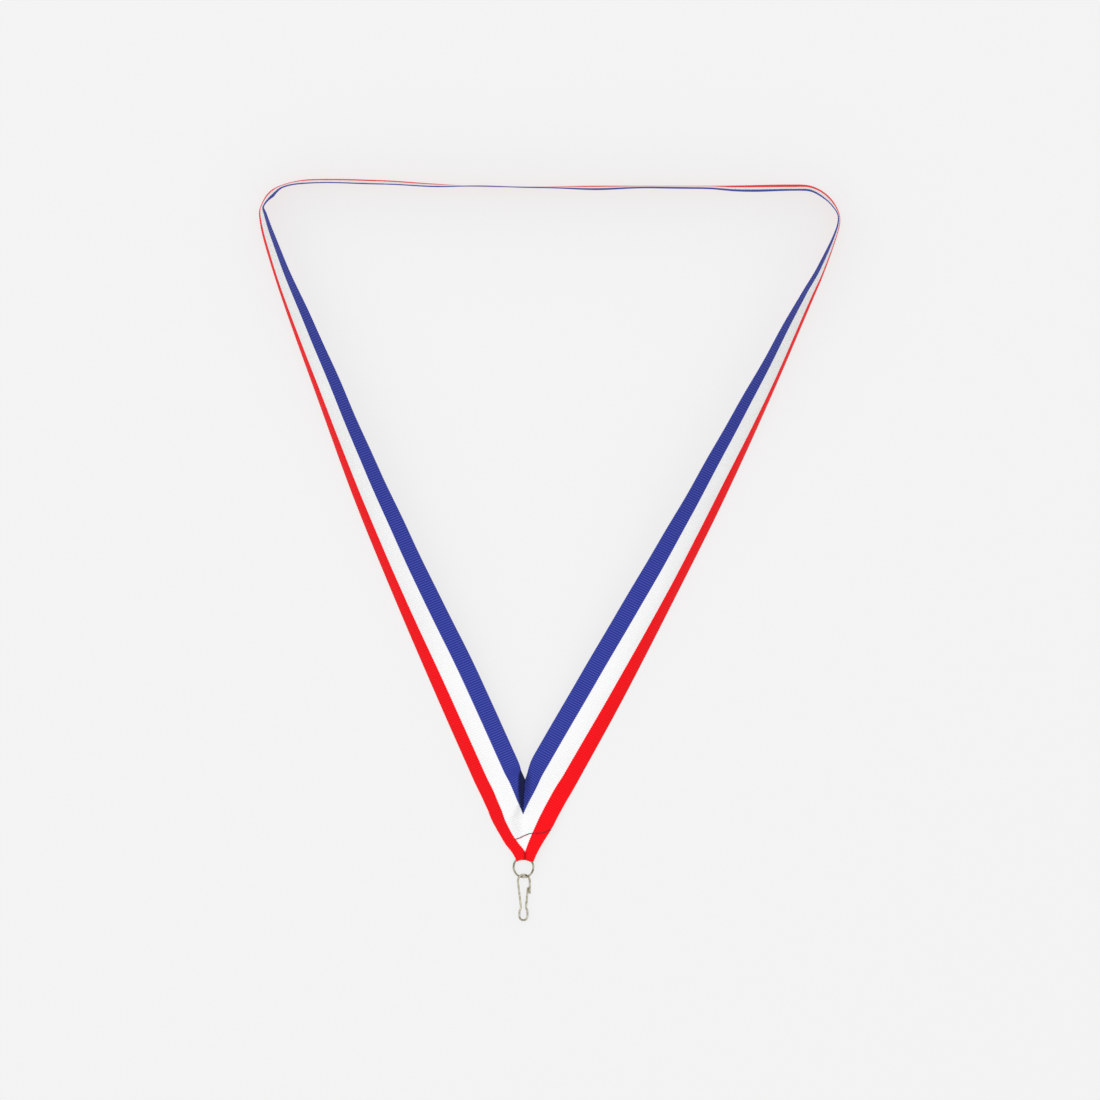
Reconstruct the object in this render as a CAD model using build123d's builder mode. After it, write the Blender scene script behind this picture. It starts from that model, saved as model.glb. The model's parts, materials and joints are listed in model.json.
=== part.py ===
from build123d import *

import os
from math import atan2, cos, degrees, radians, sin, tan

# Medal neck ribbon: a striped ribbon loop with a mitred V, a jump ring in its folded point and a wire snap
# clip. The ribbon lies on a table with its lower edge down and leans inwards, so that the loop stands open.
# The origin is at the middle of the whole outline, on the table. +Y runs from the clip to the back of the
# neck and +Z is up.

# Ribbon
ribbon_width = 22.0
ribbon_thickness = 0.45
loop_width = 241.0
loop_length = 282.0  # from the fold over the ring to the back of the neck
mitre_angle = 30.8  # half the angle of the V, as it is sewn
seam_x = -10.6
end_clearance = 1.1  # from the ring's wire to the end of the ribbon above it
allowance_width = 6.0
allowance_clearance = 12.5  # from the fold's line to the start of the seam allowance
notch_clearance = 2.0  # from the end of the seam allowance to the notch of the V

# Jump ring, which runs through the fold
ring_radius = 4.2
ring_wire = 0.8
ring_gap = 0.15
ring_roll = 12.0
ring_offset = -0.4  # from the mitre seam, across
table_clearance = 0.02  # under the lowest of the ring's fold and the clip

# Fold of cloth over the ring
tunnel_clearance = 0.05
fold_half_angle = 50.0
fold_leg = 1.3
fold_flare = 0.8  # how far the upper layer widens to each side on its way to the ribbon's end
fold_tip_length = 9.5
fold_tip_half_width = 0.6
fold_overlap = 0.6

# Snap clip
clip_wire = 0.75
clip_length = 19.2
clip_half_width = 2.95
clip_roll = 28.0
hook_return = 8.0
neck_from_top = 13.8
neck_half_width = 1.13
neck_bend = 2.4
crown_flat = 0.05
eye_half_width = 1.88
eye_length = 4.14  # from the shoulder of the small loop to its bottom
arm_from_top = 5.3
gate_clearance = 0.06
spring_gap = 0.12
link_depth = 1.4  # how far the clip's top stands inside the ring

# Stitches
thread = 0.3
mitre_stitch_pitch = 2.5
cross_stitch_length = 2.4
cross_stitch_sink = 0.05

# The ribbon's route round the loop, from the left leg over the back of the neck and down the right leg. Each
# point is on the lower edge: its place across, in half widths, its place along, in lengths, and the lean from
# the table.
ROUTE = [
    (-0.384, 0.234, 27),
    (-0.532, 0.381, 37),
    (-0.673, 0.529, 46),
    (-0.798, 0.676, 57),
    (-0.921, 0.823, 68),
    (-0.983, 0.908, 77),
    (-1.000, 0.943, 80),
    (-0.993, 0.966, 81),
    (-0.968, 0.981, 81),
    (-0.915, 0.993, 82),
    (-0.825, 1.000, 82),
    (-0.577, 0.998, 82),
    (-0.260, 0.989, 85),
    (0.139, 0.990, 82),
    (0.539, 0.990, 81),
    (0.835, 0.991, 80),
    (0.897, 0.990, 79),
    (0.948, 0.978, 80),
    (0.983, 0.961, 82),
    (0.998, 0.941, 84),
    (0.983, 0.916, 83),
    (0.950, 0.882, 80),
    (0.904, 0.823, 74),
    (0.756, 0.676, 61),
    (0.598, 0.529, 48),
    (0.426, 0.381, 36),
    (0.250, 0.234, 20),
]
BACK = 13  # the route's point where the two halves of the ribbon meet
LEFT_LEG_ANGLE, LEFT_LEG_LEAN = 23.5, 25.0  # beside the mitre, from the V's middle line and from the table
RIGHT_LEG_ANGLE, RIGHT_LEG_LEAN = 27.5, 14.0
MITRE_RUN = 8.5  # from the notch of the V to the first straight section, along the upper edge

# Heights and places that follow from the sizes
wire_radius = ring_wire / 2
tunnel_radius = wire_radius + tunnel_clearance
fold_radius = tunnel_radius + ribbon_thickness
clip_radius = clip_wire / 2
clip_side_height = clip_half_width * sin(radians(clip_roll)) + clip_radius
fold_side_height = ring_radius * sin(radians(fold_half_angle)) * sin(radians(ring_roll)) + fold_radius
ring_height = max(clip_side_height, fold_side_height) + table_clearance
seam_height = ring_height + tunnel_radius + ribbon_thickness / 2

fold_to_ring_centre = ring_radius - fold_radius
hang_length = fold_to_ring_centre + ring_radius - link_depth + clip_length + clip_radius
fold_y = -(loop_length - hang_length) / 2
ring_centre = Vector(seam_x + ring_offset, fold_y - fold_to_ring_centre, ring_height)
ring_bottom = ring_centre - Vector(0, ring_radius, 0)

mitre_length = ribbon_width / sin(radians(mitre_angle))
ribbon_end_y = fold_y + fold_radius + wire_radius + end_clearance
point_y = fold_y - fold_tip_length
notch = Vector(seam_x, point_y + mitre_length, seam_height)


def section_plane(lower_edge, travel, lean):
    """The plane across the ribbon at a point of its lower edge: x up the width, z along the route."""
    inward = Vector(travel.Y, -travel.X, 0)
    across = inward * cos(radians(lean)) + Vector(0, 0, sin(radians(lean)))
    lift = Vector(0, 0, cos(radians(lean)) * ribbon_thickness / 2)
    return Plane(origin=lower_edge + lift + across * (ribbon_width / 2), x_dir=across, z_dir=travel)


def beside_mitre(side, angle, lean):
    """The last straight section of a leg. side is -1 for the left leg and 1 for the right one."""
    up_leg = Vector(side * sin(radians(angle)), cos(radians(angle)), 0)
    travel = up_leg * -side
    inward = Vector(travel.Y, -travel.X, 0)
    upper_edge = Vector(notch.X, notch.Y, 0) + up_leg * MITRE_RUN
    return section_plane(upper_edge - inward * (ribbon_width * cos(radians(lean))), travel, lean)


def route_planes():
    """The section planes all round the loop, without the two at the mitre."""
    points = [Vector(a * loop_width / 2, fold_y + b * loop_length, 0) for a, b, _ in ROUTE]
    planes = [beside_mitre(-1, LEFT_LEG_ANGLE, LEFT_LEG_LEAN)]
    last = len(points) - 1
    for i, point in enumerate(points):
        travel = (points[min(i + 1, last)] - points[max(i - 1, 0)]).normalized()
        planes.append(section_plane(point, travel, ROUTE[i][2]))
    planes.append(beside_mitre(1, RIGHT_LEG_ANGLE, RIGHT_LEG_LEAN))
    return planes


planes = route_planes()
seam_plane = Plane(
    origin=(seam_x, point_y + mitre_length / 2, seam_height), x_dir=(0, 1, 0), z_dir=(-1, 0, 0)
)
allowance_start = fold_y + allowance_clearance
allowance_length = notch.Y - notch_clearance - allowance_start

# The ribbon, in two halves that meet at the back of the neck and at the mitre
with BuildPart() as neck_ribbon:
    for half in (planes[: BACK + 1], planes[BACK:][::-1]):
        with BuildSketch(seam_plane):
            Rectangle(mitre_length, ribbon_thickness)
        for plane in half:
            with BuildSketch(plane):
                Rectangle(ribbon_width, ribbon_thickness)
        loft(ruled=True)
    # The point is folded back, so the V ends just above the ring
    with Locations((seam_x, ribbon_end_y, seam_height)):
        below = (Align.CENTER, Align.MAX, Align.CENTER)
        Box(loop_width, loop_length, ribbon_width, align=below, mode=Mode.SUBTRACT)
    # The two ends turn down through the mitre and are pressed open on the table
    with BuildSketch(Plane.XZ.offset(-allowance_start)):
        with Locations((seam_x, 0)):
            Rectangle(2 * allowance_width, ribbon_thickness, align=(Align.CENTER, Align.MIN))
            Rectangle(2 * ribbon_thickness, seam_height, align=(Align.CENTER, Align.MIN))
    extrude(amount=-allowance_length)
neck_ribbon.part.label = "neck_ribbon"

ring_across = Vector(cos(radians(ring_roll)), 0, sin(radians(ring_roll)))
ring_plane = Plane(origin=ring_centre, x_dir=ring_across, z_dir=ring_across.cross(Vector(0, 1, 0)))
ring_axis = Axis(ring_centre, ring_plane.z_dir)


def ring_section(angle):
    """The plane across the ring's wire, at an angle from its top: x away from the ring's centre."""
    outward = ring_across * sin(radians(angle)) + Vector(0, cos(radians(angle)), 0)
    return Plane(origin=ring_centre, x_dir=outward, z_dir=ring_plane.z_dir.cross(outward))


# The point of the V, wrapped round the ring's wire and laid back under the ribbon
with BuildPart() as ring_fold:
    with BuildSketch(ring_section(fold_half_angle)):
        with Locations((ring_radius, 0)):
            Circle(fold_radius)
        with Locations((ring_radius, 0)):
            Rectangle(fold_leg, 2 * fold_radius, align=(Align.MIN, Align.CENTER))
        with Locations((ring_radius, 0)):
            Circle(tunnel_radius, mode=Mode.SUBTRACT)
            Rectangle(2 * fold_leg, 2 * tunnel_radius, align=(Align.MIN, Align.CENTER), mode=Mode.SUBTRACT)
    revolve(axis=ring_axis, revolution_arc=2 * fold_half_angle)
    half_width = ring_radius * sin(radians(fold_half_angle))
    chord = ring_radius * cos(radians(fold_half_angle))
    upper_end = ribbon_end_y + fold_overlap - ring_centre.Y
    upper_layer = (tunnel_radius, half_width + fold_flare, upper_end)
    lower_layer = (-fold_radius, fold_tip_half_width, upper_end + fold_tip_length - fold_leg)
    for height, end_half_width, end in (upper_layer, lower_layer):
        with BuildSketch(ring_plane.offset(height)):
            with BuildLine():
                Polyline(
                    (-half_width, chord),
                    (half_width, chord),
                    (end_half_width, end),
                    (-end_half_width, end),
                    close=True,
                )
            make_face()
            Circle(ring_radius, mode=Mode.SUBTRACT)
        extrude(amount=ribbon_thickness)
ring_fold.part.label = "ring_fold"

with BuildPart() as jump_ring:
    gap_angle = degrees(ring_gap / ring_radius)
    with BuildSketch(ring_section(-gap_angle / 2)):
        with Locations((ring_radius, 0)):
            Circle(wire_radius)
    revolve(axis=ring_axis, revolution_arc=360 - gap_angle)
jump_ring.part.label = "jump_ring"

# The snap clip is one bent wire. It is split at the bottom of its small loop, where it flexes.
clip_across = Vector(cos(radians(clip_roll)), 0, -sin(radians(clip_roll)))
clip_top = ring_bottom + Vector(0, link_depth, 0)
clip_plane = Plane(origin=clip_top, x_dir=clip_across, z_dir=clip_across.cross(Vector(0, 1, 0)))
side_taper = atan2(clip_half_width - neck_half_width, neck_from_top)
outer_corner = clip_half_width - crown_flat
inner_corner = outer_corner * tan(radians(45) - side_taper / 2)
eye_corner = eye_half_width - spring_gap
eye_shoulder = clip_length - eye_length
arm_tip_x = clip_half_width - clip_wire - gate_clearance

with BuildPart() as clip_hook:
    with BuildLine(clip_plane) as hook_wire:
        FilletPolyline(
            (clip_half_width, -hook_return),
            (clip_half_width, 0),
            (-clip_half_width, 0),
            (-neck_half_width, -neck_from_top),
            (-eye_half_width, -eye_shoulder),
            (-eye_half_width, -clip_length),
            (-spring_gap / 2, -clip_length),
            radius=(outer_corner, inner_corner, neck_bend, eye_corner, eye_corner),
        )
    with BuildSketch(Plane(origin=hook_wire.line @ 0, z_dir=hook_wire.line % 0)):
        Circle(clip_radius)
    sweep()
clip_hook.part.label = "clip_hook"

with BuildPart() as clip_arm:
    with BuildLine(clip_plane) as arm_wire:
        FilletPolyline(
            (spring_gap / 2, -clip_length),
            (eye_half_width, -clip_length),
            (eye_half_width, -eye_shoulder),
            (neck_half_width, -neck_from_top),
            (arm_tip_x, -arm_from_top),
            radius=(eye_corner, eye_corner, neck_bend),
        )
    with BuildSketch(Plane(origin=arm_wire.line @ 0, z_dir=arm_wire.line % 0)):
        Circle(clip_radius)
    sweep()
clip_arm.part.label = "clip_arm"

# Stitches through the two ribbon ends, below the mitre
with BuildPart() as mitre_stitches:
    stitch_count = int(allowance_length / mitre_stitch_pitch)
    stitch_height = ribbon_thickness + (seam_height - ribbon_thickness) / 2
    first_stitch = allowance_start + mitre_stitch_pitch / 2
    for i in range(stitch_count):
        with Locations((seam_x, first_stitch + i * mitre_stitch_pitch, stitch_height)):
            Cylinder(thread / 2, 2 * ribbon_thickness + 2 * thread, rotation=(0, 90, 0))
mitre_stitches.part.label = "mitre_stitches"


def cloth_top(x, y):
    """The highest point of the ribbon above a place on the table."""
    hits = neck_ribbon.part.find_intersection_points(Axis((x, y, 0), (0, 0, 1)))
    return max(point.Z for point, _ in hits)


# Stitches across the V, through the ribbon and the folded point
# The points between the stitches, from the seam across and from the fold's line along
cross_seam = ((-3.9, 8.9), (-0.4, 9.8), (3.0, 11.0), (6.6, 11.7), (10.4, 12.2))
with BuildPart() as cross_stitches:
    for (x0, y0), (x1, y1) in zip(cross_seam, cross_seam[1:]):
        run = Vector(x1 - x0, y1 - y0, 0).normalized()
        middle = Vector(seam_x + (x0 + x1) / 2, fold_y + (y0 + y1) / 2, 0)
        start, end = (middle + run * (sign * cross_stitch_length / 2) for sign in (-1, 1))
        start, end = (Vector(p.X, p.Y, cloth_top(p.X, p.Y) + thread / 2 - cross_stitch_sink) for p in (start, end))
        with BuildSketch(Plane(origin=start, z_dir=end - start)):
            Circle(thread / 2)
        extrude(amount=(end - start).length)
cross_stitches.part.label = "cross_stitches"

os.makedirs("parts", exist_ok=True)
for piece in (neck_ribbon, ring_fold, mitre_stitches, cross_stitches, jump_ring, clip_hook, clip_arm):
    export_step(piece.part, f"parts/{piece.part.label}.step")
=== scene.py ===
import json
import math

import bmesh
import bpy
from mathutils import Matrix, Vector
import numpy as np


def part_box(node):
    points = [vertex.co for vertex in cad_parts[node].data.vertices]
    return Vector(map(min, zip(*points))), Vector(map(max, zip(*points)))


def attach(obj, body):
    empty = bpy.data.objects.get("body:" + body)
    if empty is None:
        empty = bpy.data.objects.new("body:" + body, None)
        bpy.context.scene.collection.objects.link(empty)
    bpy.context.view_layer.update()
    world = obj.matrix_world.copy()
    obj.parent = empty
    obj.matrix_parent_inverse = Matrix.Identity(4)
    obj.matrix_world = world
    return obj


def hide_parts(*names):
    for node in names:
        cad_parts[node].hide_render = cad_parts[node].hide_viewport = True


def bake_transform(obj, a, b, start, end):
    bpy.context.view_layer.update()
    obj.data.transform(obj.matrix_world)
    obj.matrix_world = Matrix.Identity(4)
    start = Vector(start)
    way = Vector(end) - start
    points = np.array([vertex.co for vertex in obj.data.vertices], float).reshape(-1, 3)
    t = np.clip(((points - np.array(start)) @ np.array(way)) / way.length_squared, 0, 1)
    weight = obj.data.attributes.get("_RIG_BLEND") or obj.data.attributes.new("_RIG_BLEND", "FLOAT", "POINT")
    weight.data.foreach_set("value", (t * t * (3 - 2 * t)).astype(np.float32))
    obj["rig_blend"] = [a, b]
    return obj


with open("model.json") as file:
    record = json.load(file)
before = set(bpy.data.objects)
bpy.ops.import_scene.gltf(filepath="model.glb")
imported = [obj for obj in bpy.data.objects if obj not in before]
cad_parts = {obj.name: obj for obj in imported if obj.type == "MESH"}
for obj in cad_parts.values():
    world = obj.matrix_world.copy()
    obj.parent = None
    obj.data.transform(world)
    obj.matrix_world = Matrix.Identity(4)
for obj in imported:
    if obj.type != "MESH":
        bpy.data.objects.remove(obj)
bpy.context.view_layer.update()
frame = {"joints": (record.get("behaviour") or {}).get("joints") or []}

# Sizes are in millimetres, as on a maker's drawing, and each mesh is written in metres.
MM = 0.001

# Ribbon
RIBBON_WIDTH = 22.0
RED_STRIPE = 7.15
WHITE_STRIPE = 7.65
BLUE_STRIPE = RIBBON_WIDTH - RED_STRIPE - WHITE_STRIPE
CLOTH_THICKNESS = 0.34
RIB_PITCH = 1.0
RIB_HEIGHT = 0.13
ROWS_PER_RIB = 4
SELVEDGE_SCALLOP = 0.08  # how far the selvedge's wave reaches from rib to rib
EDGE_LIFT = 0.24  # the lower edge's middle above the table
MITRE = math.radians(29.9)  # half the angle of the V, as it is cut flat

# Seam and fold
NOTCH_Y = -95.2
SEAM_X = -10.35
SEAM_BOW = 0.75  # how far the seam wanders to the left between the notch and the white stripe's tip
FOLD_INNER = 0.45  # from the ring wire's middle to the cloth round it
FOLD_RADIUS = FOLD_INNER + CLOTH_THICKNESS / 2
POINT_LENGTH = 1.7  # how far above the ring's wire the cloth starts to turn with the ring
FOLD_SAG = 0.55  # how far the fold's middle hangs below the ring's wire
FOLD_REACH = 0.66  # the share of the ring's radius that the cloth follows to each side
SEAM_END_HEIGHT = 2.46
TABLE_CLEARANCE = 0.22  # the least height of the fold's tail above the table
GATHERED_DOWN = 33.5  # down the seam from the notch to where the cloth is bunched most, at the ring
FOLD_TAPER = 0.28  # how much narrower the cloth is behind the ring than at its front
TAPER_FROM, TAPER_LENGTH = 33.3, 1.8  # where that narrowing starts, and how much cloth it takes
FAN_LENGTH = 11.0  # how much of a leg it takes to turn into the V
BOW_LENGTH = 30.0  # how much of the seam the bow takes
# How far from the seam the painted shade of the crease reaches
CREASE_WIDTH = 3.5
SLOPE_REACH = 4.0  # how far to each side the fold follows the ring's slope
SETTLE_LENGTH = 3.0  # how much of the cloth before the wire it takes to come down to it
TINY = 1e-6  # keeps a division from failing where a stripe runs out

# Seam allowance under the V
WEB_LINE = [(0.22, 1.9), (0.22, 1.3), (0.24, 0.75), (0.45, 0.32)]  # out from the seam, and up
FLAP_HEIGHT = 0.2
FLAP_START, FLAP_STEP, FLAP_STEPS = 1.0, 0.5, 10
ALLOWANCE_ROW = 0.3

# Metal
RING_WIRE = 0.8
RING_GAP = 0.15
RING_STEPS = 120
CLIP_WIRE = 0.82
CLIP_ROLL = math.radians(28.0)
LINK_DEPTH = 1.05  # from the middle of the ring's wire to the middle of the clip's top bend
CLIP_HALF_WIDTH = 2.95
CLIP_NECK_HALF_WIDTH = 1.13
CLIP_NECK_AT = -13.8
CLIP_EYE_HALF_WIDTH = 1.88
CLIP_SHOULDER_AT = -15.06
GATE_TIP = (2.14, -5.3)
HOOK_TIP_AT = -8.0
SPRING_HALF_GAP = 0.06
CROWN_BEND, FAR_CROWN_BEND, NECK_BEND, EYE_BEND = 2.9, 2.54, 2.4, 1.76
RING_TUBE_STEP = 0.16
CLIP_TUBE_STEP = 0.14

# Thread
THREAD = 0.38
THREAD_TUBE_STEP = 0.08
STITCH_RISE = 0.16
STITCH_SINK = 0.22
MITRE_STITCH = 1.25
MITRE_STITCH_OUT = 0.46  # from the seam to the stitches on the web's side
# The needle holes of the seam across the V, from the seam across and from the fold along
CROSS_HOLES = [(-4.1, 8.0), (-2.3, 8.5), (-0.45, 9.4), (1.85, 10.4), (4.2, 10.5), (6.9, 10.5), (9.7, 11.5)]
# The loose end after the last hole
THREAD_TAIL = [(-0.3, 0, -0.2), (0.25, 0.05, 0.1), (0.75, 0.35, -0.15), (0.95, 0.1, -0.7)]
TAIL_BENDS = [0, 0.25, 0.25, 0]

# The lower edge's route round the loop, from the left leg over the back of the neck and down the right leg:
# across, along, and how steeply the red, white and blue stripes stand, in degrees.
ROUTE = [
    (-31.8, -95.0, 43, 8, 6),
    (-46.3, -62.2, 46, 9, 9),
    (-64.1, -20.7, 57.5, 27, 19.5),
    (-81.1, 21.0, 64.5, 39.5, 36),
    (-96.2, 62.5, 74, 47.5, 50),
    (-111.0, 103.9, 82, 56, 66),
    (-118.5, 127.9, 82, 68, 77),
    (-120.5, 137.8, 83, 74, 82),
    (-120.2, 142.0, 83, 81, 84),
    (-116.6, 148.3, 81, 77, 79),
    (-110.3, 151.7, 83, 82, 84),
    (-99.4, 153.7, 82, 78, 85),
    (-69.5, 153.3, 82, 78, 85.5),
    (-50.0, 152.0, 83, 81, 86),
    (-31.3, 150.9, 86, 86, 86),
    (-1.9, 150.7, 85, 84, 84),
    (16.7, 151.0, 82, 82, 84),
    (41.0, 151.0, 84, 84, 83),
    (65.0, 151.0, 84, 81, 82),
    (76.2, 151.1, 80, 79, 82),
    (100.6, 151.5, 77, 80, 83),
    (108.1, 151.0, 79, 79, 82),
    (114.2, 147.9, 80, 76, 84),
    (118.5, 142.9, 81, 79, 85),
    (120.3, 137.2, 84, 84, 84),
    (118.9, 130.2, 85, 84, 84),
    (113.4, 114.6, 84, 78, 79),
    (108.9, 103.9, 82, 68, 77),
    (91.1, 62.5, 79.5, 45, 57.5),
    (72.1, 21.0, 64.3, 39, 40.5),
    (51.3, -20.7, 59.5, 25, 13.8),
    (30.0, -62.2, 41, 5, 6),
    (11.95, -95.2, 25, 8, 6),
]

# The V, at distances down the seam from the notch. Crown, ridge and edge are heights beside the seam, at the
# red stripe's inner edge and at the lower edge. Valley is how far from the seam the cloth dips down to it.
# Spread is how wide the cloth lies, as a share of its width when flat, and the red stripe has its own.
LEFT_CROWN = [(-11, 7.0), (0, 6.9), (17, 4.7), (25, 3.6), (30, 2.9), (33.5, 2.5)]
LEFT_RIDGE = [(-11, 4.9), (0, 4.9), (17, 5.0), (25, 4.0), (30, 2.9), (33.5, 2.4)]
LEFT_EDGE = [(-11, 0.25), (0, 0.25), (17, 0.35), (25, 0.8), (30, 1.3), (33.5, 1.8)]
LEFT_VALLEY = [(0, 2.3), (10, 2.6), (17, 6.5), (33.5, 5.0)]
LEFT_SPREAD = [(-11, 0.86), (0, 0.873), (13, 0.897), (20, 1.06), (24, 1.22), (27, 1.3), (30, 1.06)]
LEFT_RED_SPREAD = [(-11, 0.76), (0, 0.748), (13, 0.708), (23, 0.65), (27, 0.7), (33.5, 0.76)]
RIGHT_CROWN = [(-11, 5.6), (0, 4.6), (17, 3.4), (25, 3.0), (33.5, 2.6)]
RIGHT_RIDGE = [(-11, 2.9), (0, 2.9), (17, 3.0), (25, 2.9), (33.5, 2.8)]
RIGHT_EDGE = [(-11, 0.25), (0, 0.25), (8, 1.0), (17, 1.9), (25, 2.4), (33.5, 3.0)]
RIGHT_VALLEY = [(0, 3.2), (17, 4.0), (33.5, 3.0)]
RIGHT_SPREAD = [(-11, 0.81), (0, 0.817), (13, 0.82), (20, 0.8), (33.5, 0.82)]
RIGHT_RED_SPREAD = [(-11, 0.96), (0, 0.98), (13, 0.935), (20, 0.9), (33.5, 0.853)]

joints = {joint["name"]: joint for joint in frame["joints"]}
ring_top = Vector(joints["ring_swing"]["pos_m"]) / MM
ring_bottom = Vector(joints["clip_swing"]["pos_m"]) / MM
spring_point = Vector(joints["clip_arm_flex"]["pos_m"]) / MM
ring_centre = (ring_top + ring_bottom) / 2
ring_radius = (ring_top - ring_bottom).length / 2
ring_across = -Vector(joints["ring_swing"]["axis"]).normalized()
ring_slope = ring_across.z / ring_across.x

mitre_run = RIBBON_WIDTH / math.tan(MITRE)
mitre_length = RIBBON_WIDTH / math.sin(MITRE)
fan_run = RIBBON_WIDTH * math.tan(MITRE)  # from the last straight row of a leg to the notch


def smooth(t):
    """0 below 0, 1 above 1, and an even curve between."""
    t = min(max(t, 0.0), 1.0)
    return t * t * (3 - 2 * t)


def along_table(table, x):
    """The value at x on a line through the table's points."""
    if x <= table[0][0]:
        return table[0][1]
    for (x0, y0), (x1, y1) in zip(table, table[1:]):
        if x <= x1:
            return y0 + (y1 - y0) * (x - x0) / (x1 - x0)
    return table[-1][1]


class Route:
    """The lower edge of the ribbon as a smooth line, and the tilt of its stripes, by distance along it."""

    def __init__(self, points, samples_per_span=60):
        spans = [math.dist(p[:2], q[:2]) for p, q in zip(points, points[1:])]
        knots = [sum(spans[:i]) for i in range(len(points))]
        self.rows = []
        for i, span in enumerate(spans):
            steps = samples_per_span if i < len(spans) - 1 else samples_per_span + 1
            for k in range(steps):
                t = k / samples_per_span
                row = [self.hermite(points, knots, i, span, t, axis) for axis in range(5)]
                self.rows.append(row)
        self.distance = [0.0]
        for p, q in zip(self.rows, self.rows[1:]):
            self.distance.append(self.distance[-1] + math.dist(p[:2], q[:2]))
        self.length = self.distance[-1]
        self.cursor = 0

    @staticmethod
    def slope(points, knots, i, axis):
        low, high = max(i - 1, 0), min(i + 1, len(points) - 1)
        return (points[high][axis] - points[low][axis]) / (knots[high] - knots[low])

    def hermite(self, points, knots, i, span, t, axis):
        p0, p1 = points[i][axis], points[i + 1][axis]
        m0 = self.slope(points, knots, i, axis) * span
        m1 = self.slope(points, knots, i + 1, axis) * span
        t2, t3 = t * t, t * t * t
        return (2 * t3 - 3 * t2 + 1) * p0 + (t3 - 2 * t2 + t) * m0 + (3 * t2 - 2 * t3) * p1 + (t3 - t2) * m1

    def at(self, s):
        """Across, along and the three tilts at a distance from the left end."""
        s = min(max(s, 0.0), self.length)
        while self.cursor > 0 and self.distance[self.cursor] > s:
            self.cursor -= 1
        while self.cursor < len(self.distance) - 2 and self.distance[self.cursor + 1] < s:
            self.cursor += 1
        i = self.cursor
        t = (s - self.distance[i]) / (self.distance[i + 1] - self.distance[i])
        return [a + (b - a) * t for a, b in zip(self.rows[i], self.rows[i + 1])]

    def travel(self, s, reach=1.2):
        """The direction of the lower edge."""
        before, after = self.at(s - reach), self.at(s + reach)
        return Vector((after[0] - before[0], after[1] - before[1], 0)).normalized()


route = Route(ROUTE)
rib_count = round(route.length / RIB_PITCH)
rib_step = route.length / rib_count
RIPPLE_FADE = 40.0  # how much of each leg's end has less and less ripple
RIPPLES = ((0.9, 11.3, 0.6), (0.6, 5.1, 2.0))  # lean in degrees, length and phase
SECTION_STEP = 1.2  # the longest step up the ribbon's width
STEEPEST = 89.0
STRIPE_MIDDLES = (RED_STRIPE / 2, RED_STRIPE + WHITE_STRIPE / 2, RIBBON_WIDTH - BLUE_STRIPE / 2)


def ripple(s):
    """Small uneven leans of a ribbon that was rolled up in its packet, in degrees."""
    fade = smooth(s / RIPPLE_FADE) * smooth((route.length - s) / RIPPLE_FADE)
    return fade * sum(lean * math.sin(s / length + phase) for lean, length, phase in RIPPLES)


def section(s, across):
    """A point of the ribbon at a distance along the loop and a distance up from its lower edge."""
    x, y, *tilts = route.at(s)
    travel = route.travel(s)
    inward = Vector((travel.y, -travel.x, 0))
    lean = ripple(s)
    point = Vector((x, y, EDGE_LIFT))
    steps = max(1, math.ceil(abs(across) / SECTION_STEP))
    for k in range(steps):
        w = across * (k + 0.5) / steps
        tilt = along_table(list(zip(STRIPE_MIDDLES, tilts)), w)
        tilt = math.radians(min(tilt + lean * w / RIBBON_WIDTH, STEEPEST))
        point = point + (inward * math.cos(tilt) + Vector((0, 0, math.sin(tilt)))) * (across / steps)
    return point


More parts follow.
